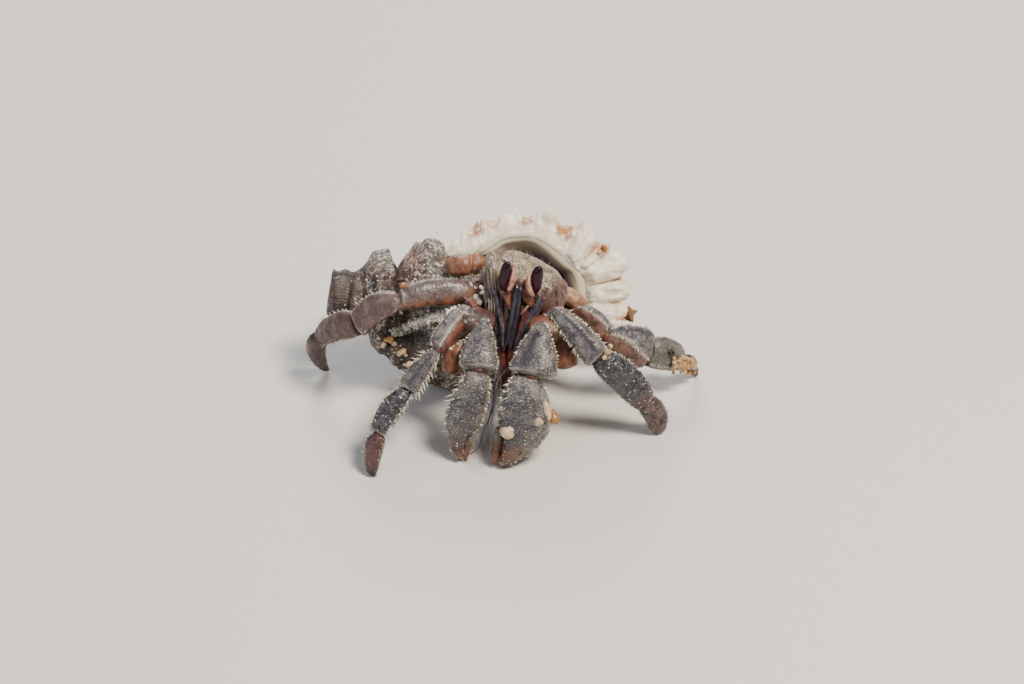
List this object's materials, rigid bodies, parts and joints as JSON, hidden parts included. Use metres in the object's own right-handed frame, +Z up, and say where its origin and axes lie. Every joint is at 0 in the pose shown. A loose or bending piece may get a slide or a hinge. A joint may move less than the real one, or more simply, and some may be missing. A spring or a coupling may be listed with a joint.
{
  "type": "land hermit crab in a rock-shell, life-size still model",
  "caption": "Small land hermit crab leaning out of a worn, knobbly spiral shell, legs spread and both claws hanging, as a life-size still model on the floor.",
  "frame": {"origin": "on the floor, under the middle of the model's outline", "axes": "+X towards the crab's own left, where the shell's canal points; +Y backwards, so the crab faces -Y; +Z up"},
  "size_m": [0.0308, 0.0214, 0.0137],
  "materials": {
    "shell": "worn chalky shell, ivory at the lip and grey-brown on the spire",
    "shield": "granular beige-grey carapace with short hairs",
    "flank": "striated purple-grey side plate",
    "limb": "damp purple-grey limb with pale granules and bristles",
    "limb_under": "damp orange-brown small limb",
    "tip": "dark horny claw tip",
    "eye": "glossy maroon-black eye",
    "stalk": "salmon-pink stalk",
    "feeler": "blue-black feeler",
    "flesh": "soft brown-pink skin"
  },
  "bodies": {
    "root": {"abdomen": "flesh", "antenna_base_left": "limb", "antenna_base_right": "limb", "antenna_left": "feeler", "antenna_right": "feeler", "antennule_left": "feeler", "antennule_right": "feeler", "carapace_shield": "shield", "cheek_left": "flank", "cheek_right": "flank", "claw_left_base": "limb", "claw_left_carpus": "limb", "claw_left_finger": "tip", "claw_left_hand": "limb", "claw_left_merus": "limb", "claw_right_base": "limb", "claw_right_carpus": "limb", "claw_right_finger": "tip", "claw_right_hand": "limb", "claw_right_merus": "limb", "eye_left": "eye", "eye_right": "eye", "eyestalk_left": "stalk", "eyestalk_right": "stalk", "face": "flank", "leg2_left_base": "limb", "leg2_left_carpus": "limb", "leg2_left_dactyl": "tip", "leg2_left_merus": "limb", "leg2_left_propodus": "limb", "leg2_right_base": "limb", "leg2_right_carpus": "limb", "leg2_right_dactyl": "tip", "leg2_right_merus": "limb", "leg2_right_propodus": "limb", "leg3_left_base": "limb", "leg3_left_carpus": "limb", "leg3_left_dactyl": "tip", "leg3_left_merus": "limb", "leg3_left_propodus": "limb", "leg3_right_base": "limb", "leg3_right_carpus": "limb", "leg3_right_dactyl": "tip", "leg3_right_merus": "limb", "leg3_right_propodus": "limb", "leg4_left": "limb_under", "leg4_right": "limb_under", "maxilliped_left": "limb_under", "maxilliped_right": "limb_under", "shell": "shell", "trunk": "flesh"}
  },
  "joints": []
}
